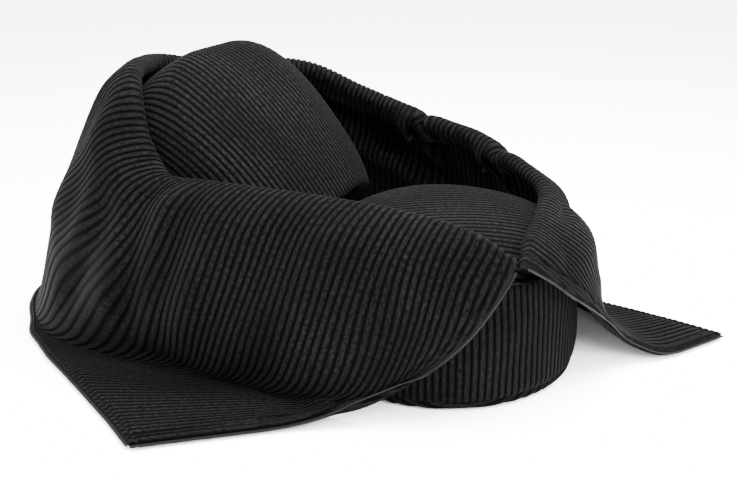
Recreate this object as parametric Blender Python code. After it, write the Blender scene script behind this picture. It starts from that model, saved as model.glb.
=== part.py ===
"""Lounge bean bag: a round seat pouf and an oval back pouf, held in a folded, padded corduroy wrap.

The wrap is one long padded sheet folded over at its rim. It stands round the two poufs, its two front
edges meet at the front, and its lower corners spread over the floor as flaps. A zip runs down both
front edges and along the bottom edge. Metres, +Z up, front towards -Y, the floor at z = 0.
"""
import math

import bmesh
import bpy
import numpy as np
from mathutils import Matrix, Vector

# Driving dimensions, metres
WIDTH = 1.20            # left corner to right corner of the wrap, along X
HEIGHT = 0.64           # highest point of the rim
COVER = 0.004           # corduroy, cover and lining of the wrap and the pouf covers
PADDING = 0.004         # wadding between cover and lining
GAP = 0.0004            # between pieces that touch
LAYER_GAP = 0.0029      # between the layers of the wrap
SEAT_RADIUS = 0.285 * WIDTH / 1.20
SEAT_HEIGHT = 0.348 * HEIGHT / 0.64
BACK_HALF_WIDTH = 0.235 * WIDTH / 1.20
BACK_HALF_LENGTH = 0.345 * WIDTH / 1.20
BACK_THICKNESS = 0.340 * WIDTH / 1.20
BACK_LOWER_SHARE = 0.80          # its lower half is shorter than its upper half
BACK_TURN = math.radians(12)     # the back pouf's face looks a little to the right
BACK_TILT = math.radians(40)     # and this far above the horizon
REST_ROOM = 0.007       # the back pouf is dented this far clear of the seat pouf
LINER = 0.001           # inner bag of a pouf
ZIP_TOOTH = 0.005       # width of a closed row of teeth
TAPE_EDGE = 0.0042      # the tape stands out this far past the edge of the cloth
PULL_STANDS = 0.0135    # a zip pull stands out this far from a pouf's cover
PULL_PLAY = 0.005       # and stays this far off the lining

# Worked out from them
ACROSS = WIDTH / 1.20
UP = HEIGHT / 0.64
SKIN = PADDING / 2 + LAYER_GAP   # middle of the sheet to the inside of cover or lining
HALF_STACK = SKIN + COVER        # middle of the sheet to its outside
FLOOR = HALF_STACK + 0.0008      # middle of the sheet where it lies on the floor
CENTRE = (0.0832, -0.1964)       # moves the middle of the finished box to X = Y = 0
SEAT_AT = (0.030, -0.108)
BACK_AT = (-0.187, 0.397, 0.237)

# The wrap, as the ribs of its cloth from the left front edge round the back to the right front edge.
# Each rib: rim, shoulder, middle of the wall, foot, fold line of the flap, bottom edge. Heights are
# above the sheet's own lying height.
RIBS = (
    ((-.110, -.410, .327), (-.130, -.412, .292), (-.185, -.370, .172), (-.262, -.275, .074),
     (-.420, -.140, 0), (-.683, .019, 0)),
    ((-.165, -.335, .367), (-.205, -.345, .357), (-.262, -.310, .192), (-.300, -.195, .018),
     (-.4417, -.050, 0), (-.660, .125, 0)),
    ((-.215, -.235, .387), (-.265, -.245, .382), (-.335, -.185, .197), (-.343, -.075, .004),
     (-.4706, .070, 0), (-.640, .240, 0)),
    ((-.270, -.115, .397), (-.325, -.115, .394), (-.395, -.055, .202), (-.394, .060, 0),
     (-.4995, .190, 0), (-.620, .360, 0)),
    ((-.335, .020, .402), (-.390, .030, .400), (-.450, .085, .207), (-.441, .185, 0),
     (-.5284, .310, 0), (-.605, .460, 0)),
    ((-.385, .140, .402), (-.440, .165, .400), (-.497, .220, .212), (-.488, .310, 0),
     (-.5549, .420, 0), (-.5850, .545, 0)),
    ((-.410, .250, .404), (-.470, .290, .406), (-.530, .330, .222), (-.540, .450, .018),
     (-.560, .530, .001), (-.570, .605, 0)),
    ((-.415, .330, .472), (-.475, .380, .470), (-.540, .450, .242), (-.541, .568, .040),
     (-.539, .622, .005), (-.535, .670, 0)),
    ((-.385, .400, .562), (-.420, .435, .564), (-.508, .555, .282), (-.499, .672, .055),
     (-.494, .718, .007), (-.490, .760, 0)),
    ((-.315, .490, .585), (-.335, .515, .588), (-.435, .650, .288), (-.426, .758, .050),
     (-.422, .800, .007), (-.420, .840, 0)),
    ((-.200, .560, .565), (-.205, .590, .565), (-.280, .710, .282), (-.300, .785, .026),
     (-.300, .832, .003), (-.300, .900, 0)),
    ((-.040, .560, .540), (-.040, .595, .540), (-.070, .710, .275), (-.080, .765, 0),
     (-.080, .822, 0), (-.080, .900, 0)),
    ((.120, .460, .527), (.140, .490, .527), (.190, .600, .262), (.210, .660, 0),
     (.200, .740, 0), (.180, .900, 0)),
    ((.225, .365, .464), (.255, .385, .462), (.330, .450, .232), (.350, .490, 0),
     (.375, .540, 0), (.400, .640, 0)),
    ((.262, .250, .430), (.300, .260, .428), (.390, .300, .212), (.410, .330, 0),
     (.440, .350, 0), (.490, .410, 0)),
    ((.300, .165, .403), (.345, .165, .400), (.410, .185, .202), (.430, .200, 0),
     (.460, .210, 0), (.515, .240, 0)),
    ((.330, .065, .378), (.370, .055, .372), (.425, .060, .182), (.445, .070, 0),
     (.470, .070, 0), (.515, .080, 0)),
    ((.306, -.060, .352), (.340, -.080, .342), (.400, -.080, .162), (.425, -.070, 0),
     (.450, -.075, 0), (.490, -.080, 0)),
    ((.250, -.187, .334), (.283, -.210, .322), (.352, -.208, .152), (.388, -.186, 0),
     (.4500, -.2220, 0), (.4650, -.1900, 0)),
    ((.124, -.283, .324), (.160, -.325, .312), (.290, -.320, .142), (.358, -.274, .010),
     (.4249, -.275, 0), (.485, -.305, 0)),
    ((.002, -.352, .322), (.030, -.390, .307), (.175, -.385, .167), (.310, -.350, .022),
     (.3830, -.363, 0), (.500, -.400, 0)),
    ((-.095, -.412, .322), (-.050, -.425, .297), (.085, -.415, .192), (.245, -.420, .050),
     (.3300, -.475, 0), (.512, -.507, 0)),
)
ROUNDING = (0.045, 0.10, 0.050)  # at the shoulder, the middle of the wall and the foot
LEFT_FOLD_RIB = 5                # the left flap spans ribs 0 to 5, the right flap ribs 18 to 21
RIGHT_FOLD_RIB = 18
BACK_SEAMS = (8.5, 13.5)         # where the cover's three panels are joined
STRAIGHT_EDGE = (10, 12)         # the bottom edge is straight between these ribs
HEM_RIBS = 1.0                   # the wadding stops this share of a rib short of the front edges
COLUMN = 0.085                   # spacing of the mesh columns along the middle of the wall
POUF_SIDES = 24

# Half outline of a pouf as (share of radius, share of height): base, side band, top
BASE_LINE = ((0.0, 0.0), (0.55, 0.0), (0.90, 0.004))
BAND_LINE = ((0.93, 0.012), (0.985, 0.10), (1.0, 0.30), (0.995, 0.52), (0.965, 0.72))
TOP_LINE = ((0.95, 0.745), (0.86, 0.85), (0.68, 0.93), (0.40, 0.985), (0.0, 1.0))

BLACK_CORD = (0.013, 0.013, 0.014)
BLACK_TAPE = (0.010, 0.010, 0.011)
WADDING = (0.75, 0.74, 0.72)
BEADS = (0.86, 0.86, 0.85)
LINER_CLOTH = (0.60, 0.60, 0.58)
ZIP_METAL = (0.10, 0.10, 0.105)


def clear_scene():
    for item in list(bpy.data.objects):
        bpy.data.objects.remove(item)


def material(name, colour, roughness, metallic=0.0):
    made = bpy.data.materials.new(name)
    made.use_nodes = True
    shader = made.node_tree.nodes["Principled BSDF"]
    shader.inputs["Base Color"].default_value = (*colour, 1.0)
    shader.inputs["Roughness"].default_value = roughness
    shader.inputs["Metallic"].default_value = metallic
    return made


def add_object(name, points, faces, colour, roughness=0.9, metallic=0.0, origin=(0, 0, 0)):
    """One closed body with its faces turned out, its object's origin at the given point."""
    mesh = bpy.data.meshes.new(name)
    moved = np.asarray(points, float) - np.asarray(origin, float)
    mesh.from_pydata([tuple(p) for p in moved], [], [tuple(f) for f in faces])
    build = bmesh.new()
    build.from_mesh(mesh)
    bmesh.ops.recalc_face_normals(build, faces=build.faces)
    build.to_mesh(mesh)
    build.free()
    mesh.materials.append(material(name, colour, roughness, metallic))
    mesh.shade_smooth()
    mesh.set_sharp_from_angle(angle=math.radians(40))
    made = bpy.data.objects.new(name, mesh)
    made.location = origin
    bpy.context.scene.collection.objects.link(made)
    return made


# ---------------------------------------------------------------- poufs

class Pouf:
    """A crowned round or oval body: base at its origin, axis along `up`."""

    def __init__(self, at, half_width, half_length, height, turn, tilt, lower_share=1.0):
        self.at = np.array(at)
        self.lower_share = lower_share
        self.half = np.array([half_width, half_length])
        self.height = height
        self.up = np.array([math.sin(turn) * math.cos(tilt), -math.cos(turn) * math.cos(tilt),
                            math.sin(tilt)])
        self.side = np.array([math.cos(turn), math.sin(turn), 0.0])
        self.along = np.cross(self.up, self.side)

    def place(self, local):
        local = np.atleast_2d(local).copy()
        local[:, 1] *= np.where(local[:, 1] < 0, self.lower_share, 1.0)
        return self.at + local[:, :1] * self.side + local[:, 1:2] * self.along + local[:, 2:] * self.up

    def local(self, point):
        d = np.asarray(point) - self.at
        y = d @ self.along
        return np.array([d @ self.side, y / self.lower_share if y < 0 else y, d @ self.up])

    def share_at(self, height):
        """Share of the full radius that the body has at this height above its base."""
        line = BAND_LINE + TOP_LINE
        shares = [p[1] for p in line]
        return float(np.interp(height / self.height, shares, [p[0] for p in line]))

    def push_out(self, point, room):
        """Moves a point beside or behind the body, where it would be nearer than this room."""
        x, y, z = self.local(point)
        if z < -room or z > self.height + room:
            return np.array(point)
        reach = math.hypot(x / self.half[0], y / self.half[1])
        radius = math.hypot(x, y) / max(reach, 1e-6)
        short = self.share_at(z) * radius + room - reach * radius
        if short <= 0:
            return np.array(point)
        if z + room < short and self.up[1] < -0.1:
            return np.array(point) - self.up * (z + room)
        return np.array(point) + (self.side * x + self.along * y) / math.hypot(x, y) * short

    def press_out(self, point, room):
        """Moves a point inside the body straight away from its middle, to this room off it."""
        x, y, z = self.local(point)
        middle = self.height / 2
        away = np.array([x, y, z - middle])
        size = np.array([self.half[0] + room, self.half[1] + room, middle + room])
        power = 4.0
        reach = (math.hypot(*(away[:2] / size[:2])) ** power + abs(away[2] / size[2]) ** power)
        reach = reach ** (1 / power)
        if reach >= 1.0:
            return np.array(point)
        moved = away / reach
        return self.at + self.side * moved[0] + self.along * moved[1] + self.up * (moved[2] + middle)


def inset_line(line, pouf, depth):
    """The half outline moved in by a depth: radius share, height, depth and place in the outline."""
    spots = np.array(line, float) * (pouf.half.mean(), pouf.height)
    run = np.gradient(spots, axis=0)
    out = np.stack([run[:, 1], -run[:, 0]], axis=1)
    out /= np.linalg.norm(out, axis=1)[:, None]
    moved = spots - out * depth
    moved[:, 0] = np.where(spots[:, 0] < 1e-6, 0.0, moved[:, 0])
    return [(r / pouf.half.mean(), z, depth, row) for row, (r, z) in enumerate(moved)]


def turned(name, pouf, outline, colour, bend, sides=POUF_SIDES, closed=False):
    """A half outline turned about the pouf's axis; it starts and ends on the axis unless closed."""
    points, depths, rings = [], [], []
    for share, height, depth, row in outline:
        count = sides if share > 1e-6 else 1
        rings.append((row, list(range(len(points), len(points) + count))))
        for step in range(count):
            angle = 2 * math.pi * step / sides
            points.append((share * pouf.half[0] * math.cos(angle),
                           share * pouf.half[1] * math.sin(angle), height))
            depths.append(depth)
    pairs = list(zip(rings, rings[1:] + rings[:1])) if closed else list(zip(rings, rings[1:]))
    faces = []
    for (row, low), (next_row, high) in pairs:
        for step in range(sides):
            after = (step + 1) % sides
            if len(low) == 1:
                faces.append((low[0], high[after], high[step]))
            elif len(high) == 1:
                faces.append((low[step], low[after], high[0]))
            elif row <= next_row:
                faces += [(low[step], low[after], high[after]), (low[step], high[after], high[step])]
            else:
                faces += [(low[step], low[after], high[step]), (low[after], high[after], high[step])]
    world = np.array([bend(p, depth) for p, depth in zip(pouf.place(np.array(points)), depths)])
    return add_object(name, world, faces, colour)


def add_pouf(name, pouf, bend):
    """Cover in three panels, inner bag and bead filling, each a little inside the last."""
    whole = BASE_LINE + BAND_LINE + TOP_LINE

    def layer(line, depth):
        return inset_line(line, pouf, depth)

    def panel(part, first, last, closed=False):
        """The stretch of the cover from one outline point to another, in or out from the axis."""
        outside = layer(whole, 0)[first:last]
        inside = layer(whole, COVER)[first:last]
        if outside[-1][0] < 1e-6:
            outside, inside = outside[::-1], inside[::-1]
        turned(part, pouf, outside + inside[::-1], BLACK_CORD, bend, closed=closed)

    base, band = len(BASE_LINE), len(BASE_LINE) + len(BAND_LINE)
    panel(name + "_base_panel", 0, base)
    panel(name + "_side_band", base, band, closed=True)
    panel(name + "_top_panel", band, len(whole))
    bag = layer(whole, COVER + 4 * GAP)
    bag_in = layer(whole, COVER + 4 * GAP + LINER)
    mouth = 0.12
    outline = bag[:0:-1] + [(mouth, *bag[0][1:]), (mouth, *bag_in[0][1:])] + bag_in[1:]
    turned(name + "_inner_bag", pouf, outline, LINER_CLOTH, bend)
    turned(name + "_bead_filling", pouf, layer(whole, COVER + 7 * GAP + LINER), BEADS, bend)


# ---------------------------------------------------------------- wrap

def scaled_ribs():
    size = np.array([ACROSS, ACROSS, UP])
    return np.array(RIBS, float) * size + (0, 0, FLOOR)


def between(line, s):
    """A smooth curve through the points, at s counted in points."""
    last = len(line) - 1
    i = min(int(s), last - 1)
    t = s - i
    before = line[max(i - 1, 0)]
    after = line[min(i + 2, last)]
    a, b = line[i], line[i + 1]
    start, end = (b - before) / (1 if i == 0 else 2), (after - a) / (1 if i == last - 1 else 2)
    return ((2 * t ** 3 - 3 * t ** 2 + 1) * a + (t ** 3 - 2 * t ** 2 + t) * start
            + (3 * t ** 2 - 2 * t ** 3) * b + (t ** 3 - t ** 2) * end)


def straight(line, s):
    i = min(int(s), len(line) - 2)
    return line[i] + (line[i + 1] - line[i]) * (s - i)


class Wrap:
    """The middle of the padded sheet, as rows of points down each rib."""

    RIM, FOLD, EDGE = 0, 10, 11

    def __init__(self, poufs):
        self.ribs = scaled_ribs()
        self.poufs = poufs
        self.last = len(self.ribs) - 1

    def corners(self, s):
        s = min(max(s, 0.0), float(self.last))
        spots = [between(self.ribs[:, k], s) for k in range(6)]
        if STRAIGHT_EDGE[0] <= s <= STRAIGHT_EDGE[1]:
            spots[5] = straight(self.ribs[:, 5], s)
        if s <= LEFT_FOLD_RIB or s >= RIGHT_FOLD_RIB:
            spots[4] = straight(self.ribs[:, 4], s)
            spots[5] = straight(self.ribs[:, 5], s)
        return spots

    def rows(self, s):
        """Rim, three points round the shoulder, two on the wall, three round the foot, fold, edge."""
        p = self.corners(s)
        found = [p[0]]
        for k, radius in enumerate(ROUNDING, start=1):
            back, on = p[k - 1] - p[k], p[k + 1] - p[k]
            share = 0.8 if k == 3 else 0.45
            trim = min(radius, 0.45 * np.linalg.norm(back), share * np.linalg.norm(on))
            start = p[k] + back / np.linalg.norm(back) * trim
            end = p[k] + on / np.linalg.norm(on) * trim
            bend = (start + 2 * p[k] + end) / 4
            found += [(found[-1] + bend) / 2, bend] if k == 2 else [start, bend, end]
        found += [(found[-1] + p[4]) / 2, p[4], p[5]]
        found = np.array(found)
        room = HALF_STACK + PULL_STANDS + PULL_PLAY
        for row in range(len(found) - 2):
            for pouf in self.poufs:
                found[row] = pouf.push_out(found[row], room)
        return found

    def frame(self, s):
        """Points of a rib with the way down it, the way across it and the way out of the sheet."""
        here = self.rows(s)
        step = 0.02
        across = self.rows(min(s + step, self.last)) - self.rows(max(s - step, 0))
        down = np.gradient(here, axis=0)
        out = np.cross(across, down)
        across /= np.linalg.norm(across, axis=1)[:, None]
        down /= np.linalg.norm(down, axis=1)[:, None]
        out /= np.linalg.norm(out, axis=1)[:, None]
        return here, down, across, out

    def edge_run(self, s):
        """The way along the bottom edge."""
        run = self.corners(s + 0.02)[5] - self.corners(s - 0.02)[5]
        return run / np.linalg.norm(run)

    def columns(self, start, end):
        """Evenly spaced places from one rib to another, with one at each end of hem and flap."""
        ends = (HEM_RIBS * 0.4, HEM_RIBS)
        marks = (*ends, LEFT_FOLD_RIB, *STRAIGHT_EDGE, RIGHT_FOLD_RIB, *(self.last - e for e in ends))
        stops = [start] + sorted(r for r in marks if start < r < end) + [end]
        found = []
        for low, high in zip(stops, stops[1:]):
            fine = np.linspace(low, high, 40)
            middle = np.array([self.corners(s)[2] for s in fine])
            length = np.concatenate([[0], np.cumsum(np.linalg.norm(np.diff(middle, axis=0), axis=1))])
            count = max(1, round(length[-1] / COLUMN))
            found += list(np.interp(np.linspace(0, length[-1], count + 1), length, fine))[:-1]
        return found + [end]


def sheet_solid(name, upper, lower, keep, colour):
    """A closed solid between two grids of points, over the cells to keep."""
    columns, rows = upper.shape[:2]
    faces = []
    edges = {}

    def number(i, j, side):
        return (side * columns + i) * rows + j

    for i in range(columns - 1):
        for j in range(rows - 1):
            if not keep(i, j):
                continue
            loop = [(i, j), (i + 1, j), (i + 1, j + 1), (i, j + 1)]
            for half in (loop[:3], [loop[0], loop[2], loop[3]]):
                faces.append([number(a, b, 0) for a, b in reversed(half)])
                faces.append([number(a, b, 1) for a, b in half])
            for a, b in zip(loop, loop[1:] + loop[:1]):
                edges[frozenset((a, b))] = edges.get(frozenset((a, b)), []) + [(a, b)]
    for found in edges.values():
        if len(found) == 1:
            a, b = found[0]
            faces.append([number(*a, 0), number(*b, 0), number(*b, 1), number(*a, 1)])
    points = np.concatenate([upper.reshape(-1, 3), lower.reshape(-1, 3)])
    used = sorted({v for face in faces for v in face})
    place = {v: k for k, v in enumerate(used)}
    return add_object(name, points[used], [[place[v] for v in f] for f in faces], colour)


def add_wrap_piece(wrap, name, colour, start, end, first, last, low, high, inset=0.0, fold=False):
    """One layer of the sheet between two ribs and two rows, from offset low to offset high."""
    seam = 0.005 if inset else 0.002
    lower, upper = [], []
    stops = wrap.columns(start, end)
    places = list(stops)
    places[0] += seam if start not in (0, HEM_RIBS) else 0
    places[-1] -= seam if end not in (wrap.last, wrap.last - HEM_RIBS) else 0
    for s in places:
        here, down, across, out = wrap.frame(s)
        here = here.copy()
        here[wrap.FOLD] += down[wrap.FOLD] * (GAP / 2) * (1 if first else -1)
        if inset:
            slant = np.linalg.norm(np.cross(down[-1], wrap.edge_run(s)))
            length = np.linalg.norm(here[wrap.EDGE] - here[wrap.FOLD])
            here[wrap.EDGE] -= down[wrap.EDGE] * min(inset / max(slant, 0.2), 0.9 * length)
        rows_low, rows_high = [], []
        if fold:
            for angle in (165, 125, 85, 42):
                turn = math.radians(angle)
                way = out[0] * math.cos(turn) - down[0] * math.sin(turn)
                rows_low.append(here[0] + way * low)
                rows_high.append(here[0] + way * high)
        for row in range(first, last + 1):
            rows_low.append(here[row] + out[row] * low)
            rows_high.append(here[row] + out[row] * high)
        lower.append(rows_low)
        upper.append(rows_high)
    count = len(upper[0])

    def keep(i, j):
        """The corner flaps are pieces of their own, so the wall's last row leaves them out."""
        in_flap = stops[i + 1] <= LEFT_FOLD_RIB + 1e-6 or stops[i] >= RIGHT_FOLD_RIB - 1e-6
        return first > 0 or not (j == count - 2 and in_flap)

    return sheet_solid(name, np.array(upper), np.array(lower), keep, colour)


def add_wrap(wrap):
    """Cover, wadding and lining of the wall in three panels and of the two corner flaps."""
    left, right = BACK_SEAMS
    spans = {"left": (0, left), "back": (left, right), "right": (right, wrap.last)}
    flaps = {"left": (0, LEFT_FOLD_RIB), "right": (RIGHT_FOLD_RIB, wrap.last)}
    hem = 0.022
    layers = (("cover", BLACK_CORD, SKIN, HALF_STACK, True, 0.0),
              ("wadding", WADDING, -PADDING / 2, PADDING / 2, False, hem),
              ("lining", BLACK_CORD, -HALF_STACK, -SKIN, False, 0.0))
    for layer, colour, low, high, fold, inset in layers:
        side = HEM_RIBS if layer == "wadding" else 0.0
        for part, (start, end) in spans.items():
            begin = start + (side if part == "left" else 0)
            finish = end - (side if part == "right" else 0)
            add_wrap_piece(wrap, f"{part}_{layer}", colour, begin, finish, 0, wrap.EDGE, low, high,
                           inset, fold)
        for part, (start, end) in flaps.items():
            begin = start + (side if part == "left" else 0)
            finish = end - (side if part == "right" else 0)
            add_wrap_piece(wrap, f"{part}_flap_{layer}", colour, begin, finish, wrap.FOLD, wrap.EDGE,
                           low, high, inset)


# ---------------------------------------------------------------- zips

def ribbon(name, path, outward, normals, near, far, low, high, colour, roughness=0.6, metallic=0.0):
    """A strip of rectangular section along a path, set off sideways and along the normal."""
    points = []
    for spot, out, normal in zip(path, outward, normals):
        for side, rise in ((near, low), (far, low), (far, high), (near, high)):
            points.append(spot + out * side + normal * rise)
    faces = [(3, 2, 1, 0)]
    for k in range(len(path) - 1):
        for side in range(4):
            a, b = 4 * k + side, 4 * k + (side + 1) % 4
            faces.append((a, b, b + 4, a + 4))
    end = 4 * (len(path) - 1)
    faces.append((end, end + 1, end + 2, end + 3))
    return add_object(name, points, faces, colour, roughness, metallic)


def zip_strip(name, path, outward, normals):
    """Tape between the two layers, teeth along its outer side."""
    path, outward, normals = refined(path, outward, normals)
    ribbon(name + "_tape", path, outward, normals, -0.005, TAPE_EDGE, -0.0005, 0.0005, BLACK_TAPE)
    ribbon(name + "_teeth", path, outward, normals, TAPE_EDGE + GAP, TAPE_EDGE + GAP + ZIP_TOOTH,
           -0.0013, 0.0013, ZIP_METAL, 0.4, 0.6)


def refined(path, outward, normals, parts=3):
    """More points on a path, with its ways out turned evenly and square to it."""
    fine = [[], [], []]
    for k in range(len(path) - 1):
        for part in range(parts + (k == len(path) - 2)):
            t = part / parts
            for found, line in zip(fine, (path, outward, normals)):
                found.append(line[k] * (1 - t) + line[k + 1] * t)
    return fine


def squared(path, outward, normals):
    """The way out of the cloth, made square to the path."""
    path = np.array(path)
    run = np.gradient(path, axis=0)
    run /= np.linalg.norm(run, axis=1)[:, None]
    outward = np.array(outward) - run * (np.array(outward) * run).sum(axis=1)[:, None]
    outward /= np.linalg.norm(outward, axis=1)[:, None]
    return list(path), list(outward), list(normals)


def hem_path(wrap, s, rows, side):
    """Down a front edge: points, the way out of the cloth and the way out of the sheet."""
    here, down, across, out = wrap.frame(s)
    chosen = slice(rows[0], rows[1] + 1)
    return squared(here[chosen], side * across[chosen], out[chosen])


def edge_path(wrap, start, end):
    path, outward, normals = [], [], []
    for s in wrap.columns(start, end):
        here, down, across, out = wrap.frame(s)
        path.append(here[-1])
        outward.append(down[-1])
        normals.append(np.array([0, 0, 1.0]))
    return squared(path, outward, normals)


def turned_corner(first, second):
    """Joins two stretches that meet at a corner of the sheet, with a mitre there."""
    path = first[0][:-1] + second[0]
    miter = first[1][-1] + second[1][0]
    miter = miter / (miter @ first[1][-1])
    return path, first[1][:-1] + [miter] + second[1][1:], first[2][:-1] + second[2]


def shorten(stretch, start, end):
    """Pulls in the ends of a stretch, so that it stays clear of the next one."""
    path, outward, normals = stretch
    path = [np.array(p) for p in path]
    if start:
        way = path[1] - path[0]
        path[0] = path[0] + way / np.linalg.norm(way) * start
    if end:
        way = path[-2] - path[-1]
        path[-1] = path[-1] + way / np.linalg.norm(way) * end
    return path, outward, normals


def box_points(low, high):
    xs, ys, zs = zip(low, high)
    return [(x, y, z) for x in xs for y in ys for z in zs]


BOX_FACES = ((0, 1, 3, 2), (4, 6, 7, 5), (0, 4, 5, 1), (2, 3, 7, 6), (0, 2, 6, 4), (1, 5, 7, 3))


def saddle(name, at, along, across, normal, origin):
    """A slider that straddles the teeth, with two ears and a pin for its pull."""
    half = ZIP_TOOTH / 2
    play, wall = 0.0006, 0.0013
    outer = half + play + wall
    outline = [(-outer, 0.0010), (-half - play, 0.0010), (-half - play, 0.0022), (half + play, 0.0022),
               (half + play, 0.0010), (outer, 0.0010), (outer, 0.0036), (-outer, 0.0036)]
    length = 0.011
    points = [(t, o, n) for t in (-length / 2, length / 2) for o, n in outline]
    count = len(outline)
    faces = [tuple(range(count)), tuple(reversed(range(count, 2 * count)))]
    faces += [(k, (k + 1) % count, (k + 1) % count + count, k + count) for k in range(count)]
    ears = []
    for side in (-1, 1):
        low, high = sorted((side * (outer - 0.0003), side * (outer - wall + 0.0001)))
        ears.append((box_points((-0.0022, low, 0.0030), (0.0022, high, 0.0078)), BOX_FACES))
    ring = [(0.0008 * math.cos(math.tau * k / 8), 0.0062 + 0.0008 * math.sin(math.tau * k / 8))
            for k in range(8)]
    reach = outer - 0.0006
    pin = [(t, o, n) for o in (-reach, reach) for t, n in ring]
    pin_faces = [tuple(range(8)), tuple(reversed(range(8, 16)))]
    pin_faces += [(k, (k + 1) % 8, (k + 1) % 8 + 8, k + 8) for k in range(8)]
    base = np.array([along, across, normal])
    body = add_object(name, np.array(points) @ base + at, faces, ZIP_METAL, 0.35, 0.8, origin)
    for index, (extra, extra_faces) in enumerate(ears + [(pin, pin_faces)]):
        join(body, f"{name}_add_{index}", np.array(extra) @ base + at, extra_faces, origin)
    return body


def join(body, name, points, faces, at):
    """Adds a solid to a body with a Boolean union and applies it."""
    extra = add_object(name, points, faces, ZIP_METAL, 0.35, 0.8, at)
    extra.hide_render = True
    extra.display_type = "WIRE"
    union = body.modifiers.new("union", "BOOLEAN")
    union.operation = "UNION"
    union.solver = "EXACT"
    union.object = extra


def pull(name, at, along, across, normal):
    """A ring round the slider's pin and a flat tail, lying along the zip."""
    inner, outer, width = 0.00115, 0.0021, 0.0022
    steps = 12
    points = []
    for o in (-width, width):
        for radius in (outer, inner):
            for k in range(steps):
                angle = math.tau * k / steps
                points.append((radius * math.cos(angle), o, radius * math.sin(angle)))
    faces = []
    for k in range(steps):
        a, b = k, (k + 1) % steps
        faces.append((a, b, b + steps, a + steps))
        faces.append((a + 2 * steps, a + 3 * steps, b + 3 * steps, b + 2 * steps))
        faces.append((a, a + 2 * steps, b + 2 * steps, b))
        faces.append((a + steps, b + steps, b + 3 * steps, a + 3 * steps))
    base = np.array([along, across, normal])
    body = add_object(name, np.array(points) @ base + at, faces, ZIP_METAL, 0.35, 0.8, at)
    tail = box_points((0.0016, -0.0021, -0.0007), (0.026, 0.0021, 0.0007))
    join(body, name + "_tail", np.array(tail) @ base + at, BOX_FACES, at)
    return body


def add_slider(name, at, along, across, normal, origin):
    """Slider and pull; `at` is the middle of the row of teeth, `origin` is on the slider's axis."""
    saddle(name + "_slider", at, along, across, normal, origin)
    pin_at = at + normal * 0.0062
    pull(name + "_pull", pin_at, along, across, normal)


def add_wrap_zip(wrap):
    left_edge = edge_path(wrap, 0, LEFT_FOLD_RIB)
    right_edge = edge_path(wrap, RIGHT_FOLD_RIB, wrap.last)
    back_edge = edge_path(wrap, LEFT_FOLD_RIB, RIGHT_FOLD_RIB)
    left_hem = hem_path(wrap, 0, (wrap.RIM, wrap.FOLD), -1)
    right_hem = hem_path(wrap, wrap.last, (wrap.RIM, wrap.FOLD), 1)
    left_tip = hem_path(wrap, 0, (wrap.FOLD, wrap.EDGE), -1)
    right_tip = hem_path(wrap, wrap.last, (wrap.FOLD, wrap.EDGE), 1)
    back_tip = [list(reversed(part)) for part in right_tip]
    zip_strip("left_front_zip", *shorten(left_hem, 0.005, 0.005))
    zip_strip("right_front_zip", *shorten(right_hem, 0.005, 0.005))
    zip_strip("left_flap_zip", *shorten(turned_corner(left_tip, left_edge), 0.004, 0.006))
    zip_strip("right_flap_zip", *shorten(turned_corner(right_edge, back_tip), 0.006, 0.004))
    zip_strip("back_zip", *shorten(back_edge, 0.006, 0.006))
    edge = wrap.ribs[STRAIGHT_EDGE[0], 5]
    at = np.array([edge[0] + 0.110, edge[1] + TAPE_EDGE + GAP + ZIP_TOOTH / 2, edge[2]])
    add_slider("wrap_zip", at, np.array([1.0, 0, 0]), np.array([0, 1.0, 0]), np.array([0, 0, 1.0]), at)


def move_origin(name, point):
    """Puts an object's origin at a point and leaves its shape where it is."""
    item = bpy.data.objects[name]
    shift = np.asarray(point, float) - np.array(item.location)
    item.data.transform(Matrix.Translation(-Vector(shift)))
    item.location = point


def hinge_flaps(wrap):
    """The corner flaps lift about their fold lines, so their origins are at the front of those."""
    for side, rib in (("left", 0), ("right", wrap.last)):
        point = wrap.ribs[rib, 4] + np.array([0, 0, HALF_STACK + GAP])
        for piece in ("flap_cover", "flap_wadding", "flap_lining", "flap_zip_tape", "flap_zip_teeth"):
            move_origin(f"{side}_{piece}", point)


def circle_centre(points, up):
    """The middle of the circle through three points, square to `up`."""
    first, second, third = points
    rows = np.array([second - first, third - first, up])
    sides = np.array([(second - first) @ (second + first) / 2, (third - first) @ (third + first) / 2,
                      up @ first])
    return np.linalg.solve(rows, sides)


def add_pouf_zip(name, pouf, start, end, height):
    """A short zip on the side band near the base, on the side away from the front."""
    share = pouf.share_at(height) + 0.0035 / pouf.half.mean()
    steps = 14
    path, outward, normals = [], [], []
    for k in range(steps + 1):
        angle = start + (end - start) * k / steps
        radial = np.array([math.cos(angle), math.sin(angle), 0.0])
        spot = np.array([share * pouf.half[0] * radial[0], share * pouf.half[1] * radial[1], height])
        normal = np.array([radial[0] / pouf.half[0], radial[1] / pouf.half[1], 0.0])
        normal /= np.linalg.norm(normal)
        path.append(pouf.place(spot)[0])
        normals.append(normal @ np.array([pouf.side, pouf.along, pouf.up]))
        outward.append(pouf.up)
    ribbon(name + "_zip_tape", path, outward, normals, -0.012, 0.012, -0.0010, 0.0, BLACK_TAPE)
    half = ZIP_TOOTH / 2
    ribbon(name + "_zip_teeth", path, outward, normals, -half, half, GAP, GAP + 0.0026, ZIP_METAL,
           0.4, 0.6)
    at = path[1] + normals[1] * (GAP + 0.0013)
    along = np.cross(outward[1], normals[1])
    middle = circle_centre([path[1], path[3], path[5]], pouf.up)
    add_slider(name + "_zip", at, along, outward[1], normals[1], middle)


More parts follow.
